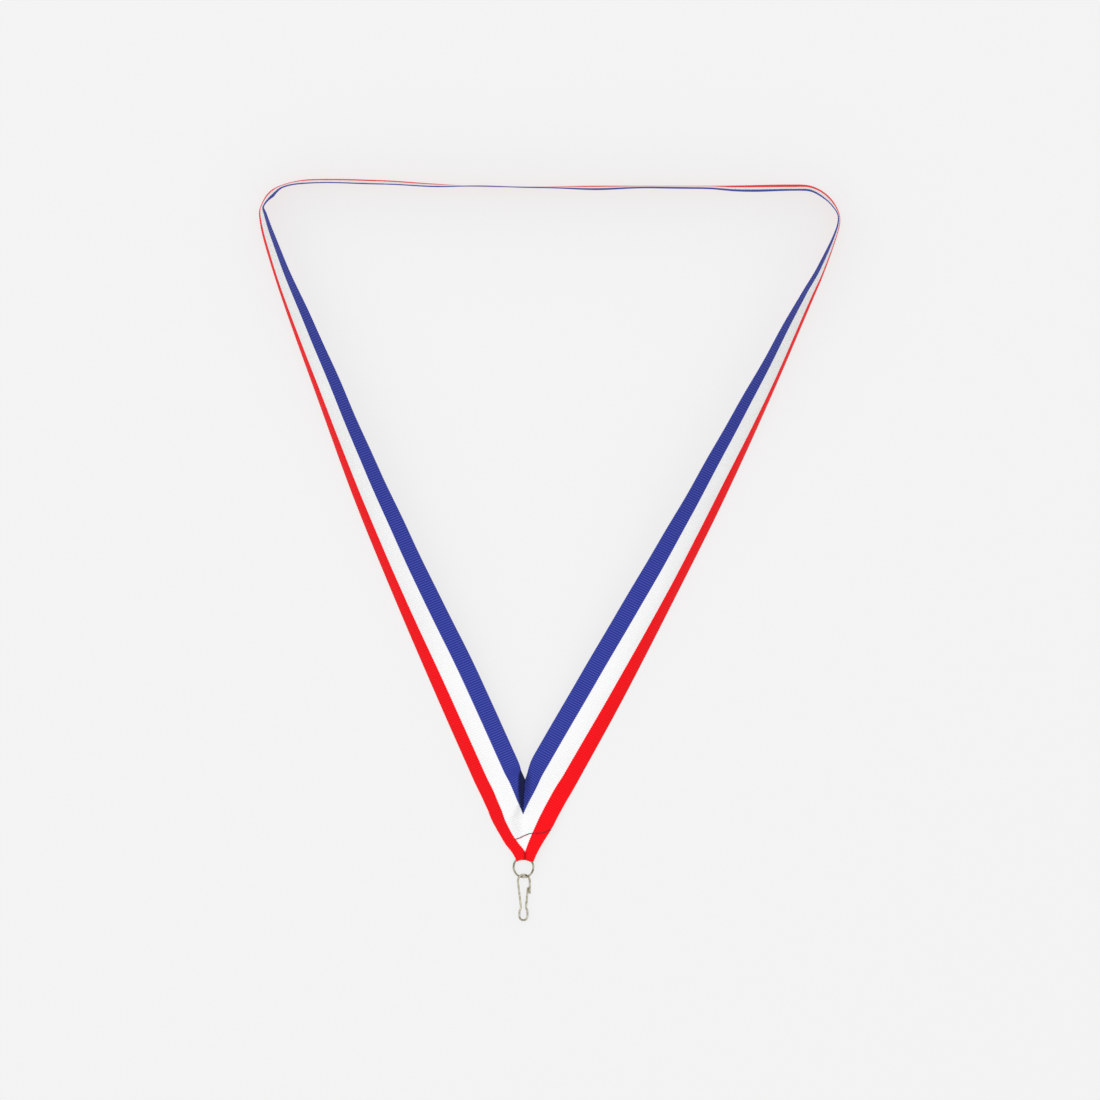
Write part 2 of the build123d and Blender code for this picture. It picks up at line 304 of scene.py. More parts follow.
class Leg:
    """The end of one leg, cut along the mitre. side is -1 for the left leg and 1 for the right one."""

    def __init__(self, side):
        self.side = side
        self.s_end = 0.0 if side < 0 else route.length
        self.outward = route.travel(self.s_end) * side
        tables = (LEFT_CROWN, LEFT_RIDGE, LEFT_EDGE, LEFT_VALLEY, LEFT_SPREAD, LEFT_RED_SPREAD)
        if side > 0:
            tables = (RIGHT_CROWN, RIGHT_RIDGE, RIGHT_EDGE, RIGHT_VALLEY, RIGHT_SPREAD, RIGHT_RED_SPREAD)
        self.crown, self.ridge, self.edge, self.valley, self.spread, self.red_spread = tables
        self.blue_hold = 0.12 if side < 0 else 0.16  # how much more the cloth bunches up near the seam
        self.gather_from = 28.0 if side < 0 else 18.0
        self.gather_to = 0.79 if side < 0 else 0.71

    def pattern(self, run, across):
        """Where a point of the flat ribbon lies from the notch: away from the seam, and down it."""
        a = run - fan_run
        up = RIBBON_WIDTH - across
        return up * math.cos(MITRE) - a * math.sin(MITRE), a * math.cos(MITRE) + up * math.sin(MITRE)

    def over_the_v(self, away, down):
        """The place of a point of the pattern over the V, before the point is folded round the ring."""
        half = (mitre_length - down) * math.tan(MITRE)
        white_edge = max(half - RED_STRIPE / math.cos(MITRE), 0.0)
        k = along_table(self.spread, down)
        red_k = along_table(self.red_spread, down)
        inner = min(away, white_edge)
        inner *= k * (1 - self.blue_hold * (1 - inner / max(white_edge, TINY)))
        offset = inner + max(away - white_edge, 0.0) * red_k
        bunched = smooth((down - self.gather_from) / (GATHERED_DOWN - self.gather_from))
        gather = 1 - (1 - self.gather_to) * bunched
        offset *= gather * (1 - FOLD_TAPER * smooth((down - TAPER_FROM) / TAPER_LENGTH))
        bow = SEAM_BOW * math.sin(math.pi * min(max(down / BOW_LENGTH, 0.0), 1.0)) ** 2
        x = SEAM_X - bow + self.side * offset
        ridge_at = max(white_edge * k * gather, TINY)
        edge_at = ridge_at + (half - white_edge) * red_k * gather
        crown, ridge, edge = (along_table(table, down) for table in (self.crown, self.ridge, self.edge))
        if offset < ridge_at:
            line = crown + (ridge - crown) * smooth(offset / ridge_at)
        else:
            past_ridge = (offset - ridge_at) / max(edge_at - ridge_at, TINY)
            line = ridge + (edge - ridge) * min(past_ridge, 1.2)
        rise = smooth(offset / along_table(self.valley, down))
        z = SEAM_END_HEIGHT + (line - SEAM_END_HEIGHT) * rise
        return Vector((x, NOTCH_Y - down, z))

    def painted_crease_shade(self, run, across):
        """How much painted shade a point takes where the left leg dives down to the seam, or at the seam's
        end.
        """
        away, down = self.pattern(run, across)
        seam_end = 0.75 * smooth((down - 28) / 3) * smooth((1.1 - away) / 0.9)
        if self.side > 0:
            return seam_end
        reach = CREASE_WIDTH * smooth((down + 12) / 9) * smooth((22 - down) / 20)
        return max(smooth((reach - away) / 0.9 + 0.5), seam_end)

    def place(self, run, across):
        """The place of a point of the leg's end, and how far down it lies before it is folded."""
        away, down = self.pattern(run, across)
        straight = section(self.s_end, across) + self.outward * run
        share = smooth(run / FAN_LENGTH)
        unfolded = straight.lerp(self.over_the_v(away, down), share)
        return fold_round_ring(unfolded), -unfolded.y


def fold_round_ring(point):
    """Wraps what lies below the ring's wire round it and lays it back under the ribbon."""
    across = point.x - ring_centre.x
    widest = FOLD_REACH * ring_radius
    reach = min(abs(across) / ring_across.x, widest)
    sag = FOLD_SAG * (1 - (reach / widest) ** 2)
    wire_y = ring_centre.y + math.sqrt(ring_radius**2 - reach**2) - sag
    wire_z = ring_centre.z + max(min(across, SLOPE_REACH), -SLOPE_REACH) * ring_slope
    past = wire_y - point.y
    if past < 0:
        near = smooth(1 + past / SETTLE_LENGTH)
        return Vector((point.x, point.y, point.z + (wire_z + FOLD_RADIUS - point.z) * near))
    lean = math.sqrt(1 - (reach / ring_radius) ** 2)
    turn = math.pi * FOLD_RADIUS
    if past < turn:
        angle = past / FOLD_RADIUS
        y = wire_y - FOLD_RADIUS / lean * math.sin(angle)
        return Vector((point.x, y, wire_z + FOLD_RADIUS * math.cos(angle)))
    back = past - turn
    return Vector((point.x, wire_y + back, max(wire_z - FOLD_RADIUS, TABLE_CLEARANCE) + 0.02 * back))


# ---------------------------------------------------------------- shader maths


class Value:
    """A socket in a material. Arithmetic on it adds Math nodes, and make() adds any other node."""

    def __init__(self, tree, socket=None):
        self.tree = tree
        self.socket = socket

    def make(self, kind, settings=(), inputs=(), output=0):
        node = self.tree.nodes.new(kind)
        for name, value in dict(settings).items():
            setattr(node, name, value)
        for name, value in dict(inputs).items():
            if isinstance(value, Value):
                self.tree.links.new(value.socket, node.inputs[name])
            else:
                node.inputs[name].default_value = value
        return Value(self.tree, node.outputs[output])

    def math(self, operation, *values):
        return self.make("ShaderNodeMath", {"operation": operation}, enumerate(values))

    def __add__(self, other):
        return self.math("ADD", self, other)

    __radd__ = __add__

    def __mul__(self, other):
        return self.math("MULTIPLY", self, other)

    __rmul__ = __mul__

    def __sub__(self, other):
        return self.math("SUBTRACT", self, other)

    def __rsub__(self, other):
        return self.math("SUBTRACT", other, self)

    def __pow__(self, other):
        return self.math("POWER", self, other)

    def __rpow__(self, other):
        return self.math("POWER", other, self)

    def wave(self):
        """A rounded hump for each whole number."""
        return self.math("ABSOLUTE", self.math("SINE", self * math.pi))

    def step(self, edge, width):
        """0 below the edge, 1 above it, with a soft change of the given width."""
        settings = {"interpolation_type": "SMOOTHSTEP"}
        inputs = {"Value": self, "From Min": edge - width / 2, "From Max": edge + width / 2}
        return self.make("ShaderNodeMapRange", settings, inputs)

    def noise(self, vector, scale, detail=2.0):
        inputs = {"Vector": vector, "Scale": scale, "Detail": detail}
        return self.make("ShaderNodeTexNoise", {"noise_dimensions": "3D"}, inputs)

    def scaled(self, vector, factors):
        """A vector stretched by its own factor on each axis."""
        return self.make("ShaderNodeVectorMath", {"operation": "MULTIPLY"}, {0: vector, 1: factors})

    def bump(self, strength, distance, height):
        inputs = {"Strength": strength, "Distance": distance, "Height": height}
        return self.make("ShaderNodeBump", (), inputs)

    def mix(self, first, second):
        """From the first colour to the second as this value goes from 0 to 1."""
        return self.make("ShaderNodeMix", {"data_type": "RGBA"}, {0: self, 6: first, 7: second}, 2)

    def tint(self, colour, factor):
        """A colour multiplied by a number from 0 to 1."""
        grey = self.make("ShaderNodeCombineColor", (), {0: factor, 1: factor, 2: factor})
        settings = {"data_type": "RGBA", "blend_type": "MULTIPLY"}
        return self.make("ShaderNodeMix", settings, {0: 1.0, 6: colour, 7: grey}, 2)


def new_material(name):
    """A material with an empty tree, and a Value to build its nodes on."""
    material = bpy.data.materials.new(name)
    material.use_nodes = True
    material.node_tree.nodes.clear()
    return material, Value(material.node_tree)


def surface(material, shader):
    """Ends a material's tree with a shader."""
    node = material.node_tree.nodes.new("ShaderNodeOutputMaterial")
    material.node_tree.links.new(shader.socket, node.inputs["Surface"])
    return material


def principled(material, start, constants, inputs):
    """Ends a material's tree with the usual shader, from its fixed values and its varying ones."""
    return surface(material, start.make("ShaderNodeBsdfPrincipled", (), {**constants, **inputs}))


YARNS_PER_MM = 3.4
FIBRE_STRETCH = (4, 9, 1)
STRIPE_STEP = 0.22  # how far each rib's crest carries a stripe past its line
STRIPE_FUZZ = 0.15
STRIPE_BLEND = 0.16
# How dark the painted shade is in the crease where the left leg dives to the seam
CREASE_SHADE = 0.78


def grosgrain(name):
    """Ribbed ribbon cloth with a red, a white and a blue stripe, each edge stepped by the ribs. It has
    painted shade in the rib hollows and in the crease by the seam, and a painted highlight on the rib
    crests.
    """
    material, start = new_material(name)
    weave = start.make("ShaderNodeUVMap", {"uv_map": "weave"})
    ribs = start.make("ShaderNodeSeparateXYZ", (), {0: weave}, 0)
    across = start.make("ShaderNodeSeparateXYZ", (), {0: weave}, 1)
    body = start.make("ShaderNodeTexCoord", (), (), 3)
    crest = ribs.wave()
    yarn = (across * YARNS_PER_MM).wave()
    stretched = start.scaled(weave, FIBRE_STRETCH)
    fibre = start.noise(stretched, 1.0)
    dye = start.noise(body, 55.0, 3.0)
    # How much painted shade each point takes in the crease by the seam
    painted_crease_shade = start.make("ShaderNodeAttribute", {"attribute_name": "painted_crease_shade"}, (), 2)
    stepped = across + (crest - 0.5) * STRIPE_STEP + (fibre - 0.5) * STRIPE_FUZZ
    white = stepped.step(RED_STRIPE, STRIPE_BLEND)
    blue = stepped.step(RED_STRIPE + WHITE_STRIPE, STRIPE_BLEND)
    # Painted highlight: the crests of the ribs are painted lighter where the yarns cross them
    crest_highlight = (crest**3) * yarn
    red_highlighted = crest_highlight.mix((0.90, 0.004, 0.008, 1), (0.98, 0.014, 0.02, 1))
    white_highlighted = crest_highlight.mix((0.86, 0.86, 0.865, 1), (0.90, 0.90, 0.905, 1))
    blue_highlighted = crest_highlight.mix((0.026, 0.040, 0.29, 1), (0.09, 0.11, 0.52, 1))
    colour = blue.mix(white.mix(red_highlighted, white_highlighted), blue_highlighted)
    # Painted shade in the hollows between the ribs, strongest on the blue and weakest on the white
    hollow = 1 - crest**0.6
    hollow_shade_strength = 0.07 + blue * 0.33 - (white - blue) * 0.06
    uneven = 0.97 + (dye - 0.5) * 0.06 + (fibre - 0.5) * 0.06
    # Painted shade in the crease by the seam, on the red and the blue only
    crease_shade_factor = 1 - painted_crease_shade * (1 - white + blue) * CREASE_SHADE
    # The dye's uneven tone, with the painted shade of the hollows and the crease
    tone_and_painted_shade = (1 - hollow * hollow_shade_strength) * uneven * crease_shade_factor
    height = crest * 0.35 + yarn * 0.45 + fibre * 0.5
    bump = start.bump(0.35, 0.00008, height)
    roughness = 0.82 + (fibre - 0.5) * 0.2
    constants = {"Specular IOR Level": 0.05, "Sheen Weight": 0.06, "Sheen Roughness": 0.5}
    inputs = {"Base Color": start.tint(colour, tone_and_painted_shade), "Roughness": roughness, "Normal": bump}
    return principled(material, start, constants, inputs)


TWISTS_PER_METRE = 4200.0


def sewing_thread(name):
    """Maroon twisted thread."""
    material, start = new_material(name)
    body = start.make("ShaderNodeTexCoord", (), (), 3)
    x, y, z = (start.make("ShaderNodeSeparateXYZ", (), {0: body}, axis) for axis in range(3))
    twist = ((x + y * 0.9 + z * 0.6) * TWISTS_PER_METRE).wave()
    lint = start.noise(body, 3500.0)
    colour = (twist * 0.7 + lint * 0.3).mix((0.16, 0.010, 0.03, 1), (0.33, 0.025, 0.06, 1))
    bump = start.bump(0.5, 0.00004, twist + lint * 0.4)
    inputs = {"Base Color": colour, "Roughness": 0.6 + lint * 0.2, "Normal": bump}
    return principled(material, start, {"Specular IOR Level": 0.15}, inputs)


def nickel(name, bright, dull, roughness):
    """Plated wire with fine draw marks, a little worn and dulled in patches."""
    material, start = new_material(name)
    body = start.make("ShaderNodeTexCoord", (), (), 3)
    patches = start.noise(body, 620.0, 3.0)
    marks = start.noise(start.scaled(body, (1.0, 0.12, 1.0)), 9000.0, 2.0)
    wear = patches.step(0.52, 0.3)
    rough = roughness + wear * 0.12 + (marks - 0.5) * 0.12
    bump = start.bump(0.12, 0.00002, marks)
    inputs = {"Base Color": wear.mix(bright, dull), "Roughness": rough, "Normal": bump}
    return principled(material, start, {"Metallic": 1.0}, inputs)


# ---------------------------------------------------------------- geometry trees


class Tree:
    """A geometry tree with named inputs, which ends in Realize Instances and Set Material."""

    def __init__(self, name, inputs):
        self.tree = bpy.data.node_groups.new(name, "GeometryNodeTree")
        sockets = self.tree.interface
        sockets.new_socket("Geometry", in_out="INPUT", socket_type="NodeSocketGeometry")
        for title, kind in inputs:
            sockets.new_socket(title, in_out="INPUT", socket_type=kind)
        sockets.new_socket("Material", in_out="INPUT", socket_type="NodeSocketMaterial")
        sockets.new_socket("Geometry", in_out="OUTPUT", socket_type="NodeSocketGeometry")
        self.source = self.tree.nodes.new("NodeGroupInput")

    def input(self, name):
        return self.source.outputs[name]

    def node(self, kind, settings=(), inputs=()):
        node = self.tree.nodes.new(kind)
        for name, value in dict(settings).items():
            setattr(node, name, value)
        for name, value in dict(inputs).items():
            if isinstance(value, bpy.types.NodeSocket):
                self.tree.links.new(value, node.inputs[name])
            else:
                node.inputs[name].default_value = value
        return node

    def math(self, operation, *values):
        return self.node("ShaderNodeMath", {"operation": operation}, enumerate(values)).outputs[0]

    def vector(self, operation, *values):
        return self.node("ShaderNodeVectorMath", {"operation": operation}, enumerate(values)).outputs[0]

    def attribute(self, name):
        node = self.node("GeometryNodeInputNamedAttribute", {"data_type": "FLOAT"}, {"Name": name})
        return node.outputs[0]

    def tube(self, curve, sides, radius, extra=()):
        """A closed tube of the given radius along a curve."""
        circle = self.node("GeometryNodeCurvePrimitiveCircle", (), {"Resolution": sides, "Radius": radius})
        inputs = {"Curve": curve, "Profile Curve": circle.outputs[0], "Fill Caps": True}
        return self.node("GeometryNodeCurveToMesh", (), {**inputs, **dict(extra)}).outputs[0]

    def point(self, x, y=0.0, z=0.0):
        return self.node("ShaderNodeCombineXYZ", (), {0: x, 1: y, 2: z}).outputs[0]

    def end(self, geometry):
        smooth_faces = self.node("GeometryNodeSetShadeSmooth", (), {"Geometry": geometry})
        real = self.node("GeometryNodeRealizeInstances", (), {"Geometry": smooth_faces.outputs[0]})
        inputs = {"Geometry": real.outputs[0], "Material": self.input("Material")}
        coated = self.node("GeometryNodeSetMaterial", (), inputs)
        output = self.tree.nodes.new("NodeGroupOutput")
        self.tree.links.new(coated.outputs[0], output.inputs[0])
        return self.tree


def rib_tree():
    """Raises the cross ribs of the weave, a little uneven, from the count of ribs at each point."""
    tree = Tree("grosgrain_ribs", [("Rib Height", "NodeSocketFloat"), ("Unevenness", "NodeSocketFloat")])
    turns = tree.math("MULTIPLY", tree.attribute("ribs"), math.pi)
    hump = tree.math("POWER", tree.math("ABSOLUTE", tree.math("SINE", turns)), 0.75)
    noise = tree.node("ShaderNodeTexNoise", {"noise_dimensions": "3D"}, {"Scale": 900.0, "Detail": 1.0})
    centred = tree.math("SUBTRACT", noise.outputs[0], 0.5)
    uneven = tree.math("MULTIPLY", centred, tree.input("Unevenness"))
    level = tree.math("ADD", tree.math("SUBTRACT", hump, 0.5), uneven)
    height = tree.math("MULTIPLY", level, tree.input("Rib Height"))
    normal = tree.node("GeometryNodeInputNormal").outputs[0]
    offset = tree.node("ShaderNodeVectorMath", {"operation": "SCALE"}, {0: normal, "Scale": height})
    inputs = {"Geometry": tree.input("Geometry"), "Offset": offset.outputs[0]}
    return tree.end(tree.node("GeometryNodeSetPosition", (), inputs).outputs[0])


def wire_tree():
    """A wire bent along a line, with a bend radius at each point and rounded ends."""
    tree = Tree("bent_wire", [("Wire Radius", "NodeSocketFloat"), ("Step", "NodeSocketFloat")])
    line = tree.node("GeometryNodeMeshToCurve", (), {"Mesh": tree.input("Geometry")})
    inputs = {"Curve": line.outputs[0], "Count": 14, "Radius": tree.attribute("bend"), "Limit Radius": True}
    bent = tree.node("GeometryNodeFilletCurve", {"mode": "POLY"}, inputs)
    inputs = {"Curve": bent.outputs[0], "Length": tree.input("Step")}
    even = tree.node("GeometryNodeResampleCurve", {"mode": "LENGTH"}, inputs)
    distance = tree.node("GeometryNodeSplineParameter").outputs["Length"]
    length = tree.node("GeometryNodeSplineLength").outputs["Length"]
    to_end = tree.math("MINIMUM", distance, tree.math("SUBTRACT", length, distance))
    dome_length = tree.math("MULTIPLY", tree.input("Wire Radius"), 0.8)
    share = tree.math("MINIMUM", tree.math("DIVIDE", to_end, dome_length), 1.0)
    left = tree.math("SUBTRACT", 1.0, share)
    dome = tree.math("SQRT", tree.math("SUBTRACT", 1.03, tree.math("MULTIPLY", left, left)))
    return tree.end(tree.tube(even.outputs[0], 16, tree.input("Wire Radius"), {"Scale": dome}))


STITCH_REACH = 0.49  # half a stitch, as a share of the space between its holes


def stitch_tree():
    """A stitch on each edge of a line of needle holes, arched over the cloth, its ends sunk in it."""
    sizes = [("Thread Radius", "NodeSocketFloat"), ("Rise", "NodeSocketFloat"), ("Sink", "NodeSocketFloat")]
    tree = Tree("run_of_stitches", sizes)
    ends = tree.node("GeometryNodeInputMeshEdgeVertices")
    span = tree.vector("SUBTRACT", ends.outputs["Position 2"], ends.outputs["Position 1"])
    kept = tree.tree.nodes.new("GeometryNodeCaptureAttribute")
    kept.domain = "EDGE"
    kept.capture_items.new("VECTOR", "Span")
    tree.tree.links.new(tree.input("Geometry"), kept.inputs["Geometry"])
    tree.tree.links.new(span, kept.inputs["Span"])
    points = tree.node("GeometryNodeMeshToPoints", {"mode": "EDGES"}, {"Mesh": kept.outputs["Geometry"]})
    sunk = tree.math("MULTIPLY", tree.input("Sink"), -1.0)
    inputs = {
        "Resolution": 12,
        "Start": tree.point(-STITCH_REACH, z=sunk),
        "Middle": tree.point(0.0, z=tree.input("Rise")),
        "End": tree.point(STITCH_REACH, z=sunk),
    }
    arch = tree.node("GeometryNodeCurveQuadraticBezier", (), inputs)
    stitch = tree.tube(arch.outputs[0], 8, tree.input("Thread Radius"))
    along = {"Vector": kept.outputs["Span"]}
    turned = tree.node("FunctionNodeAlignRotationToVector", {"axis": "X"}, along)
    length = tree.node("ShaderNodeVectorMath", {"operation": "LENGTH"}, {0: kept.outputs["Span"]})
    inputs = {
        "Points": points.outputs[0],
        "Instance": stitch,
        "Rotation": turned.outputs[0],
        "Scale": tree.point(length.outputs["Value"], 1.0, 1.0),
    }
    return tree.end(tree.node("GeometryNodeInstanceOnPoints", (), inputs).outputs[0])


def new_object(name, mesh):
    piece = bpy.data.objects.new(name, mesh)
    bpy.context.scene.collection.objects.link(piece)
    return piece


def settle(piece, modifier):
    """Keeps a modifier's result as the piece's plain mesh and removes the modifier."""
    depsgraph = bpy.context.evaluated_depsgraph_get()
    mesh = bpy.data.meshes.new_from_object(piece.evaluated_get(depsgraph), depsgraph=depsgraph)
    piece.modifiers.remove(modifier)
    piece.data = mesh
    mesh.name = piece.name
    return piece


def grow(name, mesh, tree, values):
    """A new piece from a mesh by a geometry tree, with the tree's values by input name."""
    piece = new_object(name, mesh)
    modifier = piece.modifiers.new(tree.name, "NODES")
    modifier.node_group = tree
    for item in tree.interface.items_tree:
        if item.in_out == "INPUT" and item.name in values:
            modifier[item.identifier] = values[item.name]
    return settle(piece, modifier)


def line_mesh(name, points, bends=None):
    """A line of points in millimetres, with the bend radius at each one."""
    mesh = bpy.data.meshes.new(name)
    edges = [(i, i + 1) for i in range(len(points) - 1)]
    mesh.from_pydata([tuple(Vector(p) * MM) for p in points], edges, [])
    attribute = mesh.attributes.new("bend", "FLOAT", "POINT")
    attribute.data.foreach_set("value", [b * MM for b in (bends or [0.0] * len(points))])
    return mesh


# ---------------------------------------------------------------- ribbon

LOOP_COLUMNS = [0.0, 0.4, 2.6, 4.9, 7.15, 9.7, 12.2, 14.8, 17.2, 19.4, 21.6, 22.0]
FINE_SHARE = 3  # columns of the V for each column of the loop
CUT_TOLERANCE = 1e-5
WELD_REACH = 0.03  # the two ends' points on the mitre that lie this close become one
NOT_IN_V = -99.0  # how far down a point of the loop is said to lie


def hump(ribs):
    return abs(math.sin(math.pi * ribs))


def scalloped(across, ribs):
    """The selvedges stand out a little at each rib."""
    if across <= 0.0:
        return across - SELVEDGE_SCALLOP * (hump(ribs) - 0.5)
    if across >= RIBBON_WIDTH:
        return across + SELVEDGE_SCALLOP * (hump(ribs) - 0.5)
    return across


def fine_columns():
    columns = []
    for low, high in zip(LOOP_COLUMNS, LOOP_COLUMNS[1:]):
        columns += [low + (high - low) * k / FINE_SHARE for k in range(FINE_SHARE)]
    return columns + [RIBBON_WIDTH]


def ribbon_mesh():
    """The whole ribbon as one strip: cut flat with a mitre at both ends, bent round the loop and joined."""
    bm = bmesh.new()
    ribs_layer = bm.verts.layers.float.new("ribs")
    down_layer = bm.verts.layers.float.new("reach_down")
    # How much painted shade each point takes in the crease by the seam
    crease_shade_layer = bm.verts.layers.float.new("painted_crease_shade")
    weave = bm.loops.layers.uv.new("weave")
    flat = {}

    def vertex(place, ribs, across, down=NOT_IN_V):
        v = bm.verts.new(place * MM)
        v[ribs_layer] = ribs
        v[down_layer] = down
        flat[v] = (ribs, across)
        return v

    def face(*corners):
        made = bm.faces.new(corners)
        made.smooth = True
        for loop in made.loops:
            loop[weave].uv = flat[loop.vert]

    rows = []
    for i in range(rib_count * ROWS_PER_RIB + 1):
        ribs = i / ROWS_PER_RIB
        s = ribs * rib_step
        rows.append([vertex(section(s, scalloped(w, ribs)), ribs, w) for w in LOOP_COLUMNS])
    for low, high in zip(rows, rows[1:]):
        for j in range(len(LOOP_COLUMNS) - 1):
            face(low[j], high[j], high[j + 1], low[j + 1])

    columns = fine_columns()
    for side, end_row in ((-1, rows[0]), (1, rows[-1])):
        leg = Leg(side)
        cut = cut_leg_end(columns)
        made = []
        for point in cut.verts:
            run, across = point.co.x, point.co.y
            ribs = -run / rib_step if side < 0 else rib_count + run / rib_step
            place, down = leg.place(run, scalloped(across, ribs))
            made.append(vertex(place, ribs, across, down))
            made[-1][crease_shade_layer] = leg.painted_crease_shade(run, across)
        for f in cut.faces:
            corners = [made[v.index] for v in f.verts]
            face(*(corners if side > 0 else corners[::-1]))
        first = sorted((v for v in cut.verts if v.co.x < 1.5 / ROWS_PER_RIB), key=lambda v: v.co.y)
        fine = [made[v.index] for v in first]
        for j in range(len(LOOP_COLUMNS) - 1):
            a, b = end_row[j], end_row[j + 1]
            f = fine[j * FINE_SHARE : (j + 1) * FINE_SHARE + 1]
            for corners in ((a, f[0], f[1]), (a, f[1], f[2], b), (b, f[2], f[3])):
                face(*(corners if side > 0 else corners[::-1]))
        cut.free()
    seam = [v for v in bm.verts if v[down_layer] > NOT_IN_V and v.is_boundary]
    bmesh.ops.remove_doubles(bm, verts=seam, dist=WELD_REACH * MM)
    mesh = bpy.data.meshes.new("neck_ribbon_cloth")
    bm.to_mesh(mesh)
    bm.free()
    return mesh


def cut_leg_end(columns):
    """The flat end of a leg, from just past its last straight row to the mitre, with x along it."""
    grid = bmesh.new()
    step = rib_step / ROWS_PER_RIB
    count = math.ceil((fan_run + mitre_run) / step) + 1
    rows = [[grid.verts.new((i * step, w, 0)) for w in columns] for i in range(1, count + 1)]
    for low, high in zip(rows, rows[1:]):
        for j in range(len(columns) - 1):
            grid.faces.new((low[j], high[j], high[j + 1], low[j + 1]))
    everything = grid.verts[:] + grid.edges[:] + grid.faces[:]
    along = Vector((1, mitre_run / RIBBON_WIDTH, 0)).normalized()
    corner = Vector((fan_run + mitre_run, 0, 0))
    plane = {"plane_co": corner, "plane_no": along, "dist": CUT_TOLERANCE}
    bmesh.ops.bisect_plane(grid, geom=everything, clear_outer=True, **plane)
    grid.verts.index_update()
    return grid


def split_faces(name, mesh, keep):
    """A piece of the thickened cloth with only the faces whose middle passes the test, its cut closed."""
    bm = bmesh.new()
    bm.from_mesh(mesh)
    bm.verts.ensure_lookup_table()
    down_layer = bm.verts.layers.float["reach_down"]
    half = len(bm.verts) // 2  # Solidify puts the second side's points after the first side's
    below = {bm.verts[i]: bm.verts[i + half] for i in range(half)}
    lost = [f for f in bm.faces if not keep(sum(v[down_layer] for v in f.verts) / len(f.verts))]
    bmesh.ops.delete(bm, geom=lost, context="FACES")
    for edge in [e for e in bm.edges if e.is_boundary]:
        first = edge.link_loops[0].vert
        second = edge.other_vert(first)
        if first in below and second in below:
            cap = bm.faces.new((second, first, below[first], below[second]))
            cap.smooth = False
    part = bpy.data.meshes.new(name)
    bm.to_mesh(part)
    bm.free()
    for material in mesh.materials:
        part.materials.append(material)
    return new_object(name, part)


def thicken(piece):
    """Gives the cloth its thickness, half to each side."""
    solidify = piece.modifiers.new("cloth_thickness", "SOLIDIFY")
    solidify.thickness = CLOTH_THICKNESS * MM
    solidify.offset = 0.0
    return settle(piece, solidify)


def seam_allowance_mesh():
    """The two ribbon ends below the mitre: down to the table, and pressed open on it."""
    low_y, high_y = (corner.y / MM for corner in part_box("mitre_stitches"))
    bottom, top = low_y - 1.0, high_y + 1.5
    profile = WEB_LINE + [(FLAP_START + FLAP_STEP * k, FLAP_HEIGHT) for k in range(FLAP_STEPS + 1)]
    bm = bmesh.new()
    ribs_layer = bm.verts.layers.float.new("ribs")
    weave = bm.loops.layers.uv.new("weave")
    rows = round((top - bottom) / ALLOWANCE_ROW)
    for side in (-1, 1):
        grid = []
        for i in range(rows + 1):
            y = bottom + (top - bottom) * i / rows
            row, run = [], 0.0
            for k, (x, z) in enumerate(profile):
                run += math.dist(profile[k - 1], (x, z)) if k else 0.0
                down = NOTCH_Y - y
                across = RIBBON_WIDTH + run * math.cos(MITRE) - down * math.sin(MITRE)
                ribs = (run * math.sin(MITRE) + down * math.cos(MITRE)) / RIB_PITCH
                v = bm.verts.new(Vector((SEAM_X + side * x, y, z)) * MM)
                v[ribs_layer] = ribs
                row.append((v, across))
            grid.append(row)
        for low, high in zip(grid, grid[1:]):
            for j in range(len(profile) - 1):
                corners = [low[j], low[j + 1], high[j + 1], high[j]][:: 1 if side > 0 else -1]
                made = bm.faces.new([v for v, _ in corners])
                for loop, (v, across) in zip(made.loops, corners):
                    loop[weave].uv = (v[ribs_layer], across)
    mesh = bpy.data.meshes.new("seam_allowance")
    bm.to_mesh(mesh)
    bm.free()
    return mesh


# ---------------------------------------------------------------- metal and thread paths


def ring_line():
    """The ring's wire, from one side of its gap, at the top inside the fold, round to the other."""
    gap = RING_GAP / ring_radius / 2
    points = []
    for i in range(RING_STEPS + 1):
        angle = gap + (2 * math.pi - 2 * gap) * i / RING_STEPS
        direction = ring_across * math.sin(angle) + Vector((0, math.cos(angle), 0))
        points.append(ring_centre + direction * ring_radius)
    return line_mesh("ring_wire", points)


def clip_point(u, v):
    """A point in the clip's own plane: across it, and along it from the middle of its top bend."""
    across = Vector((math.cos(CLIP_ROLL), 0, -math.sin(CLIP_ROLL)))
    return ring_bottom + Vector((0, LINK_DEPTH + v, 0)) + across * u


eye_bottom = spring_point.y - ring_bottom.y - LINK_DEPTH


HOOK_CORNERS = [
    (CLIP_HALF_WIDTH, HOOK_TIP_AT, 0),
    (CLIP_HALF_WIDTH, 0, CROWN_BEND),
    (-CLIP_HALF_WIDTH, 0, FAR_CROWN_BEND),
    (-CLIP_NECK_HALF_WIDTH, CLIP_NECK_AT, NECK_BEND),
    (-CLIP_EYE_HALF_WIDTH, CLIP_SHOULDER_AT, EYE_BEND),
    (-CLIP_EYE_HALF_WIDTH, eye_bottom, EYE_BEND),
    (-SPRING_HALF_GAP, eye_bottom, 0),
]
ARM_CORNERS = [
    (-SPRING_HALF_GAP, eye_bottom, 0),
    (CLIP_EYE_HALF_WIDTH, eye_bottom, EYE_BEND),
    (CLIP_EYE_HALF_WIDTH, CLIP_SHOULDER_AT, EYE_BEND),
    (CLIP_NECK_HALF_WIDTH, CLIP_NECK_AT, NECK_BEND),
    (*GATE_TIP, 0),
]


def clip_line(name, corners):
    """Half of the clip's wire, from its corners in the clip's own plane and the bend at each."""
    return line_mesh(name, [clip_point(u, v) for u, v, _ in corners], [bend for _, _, bend in corners])


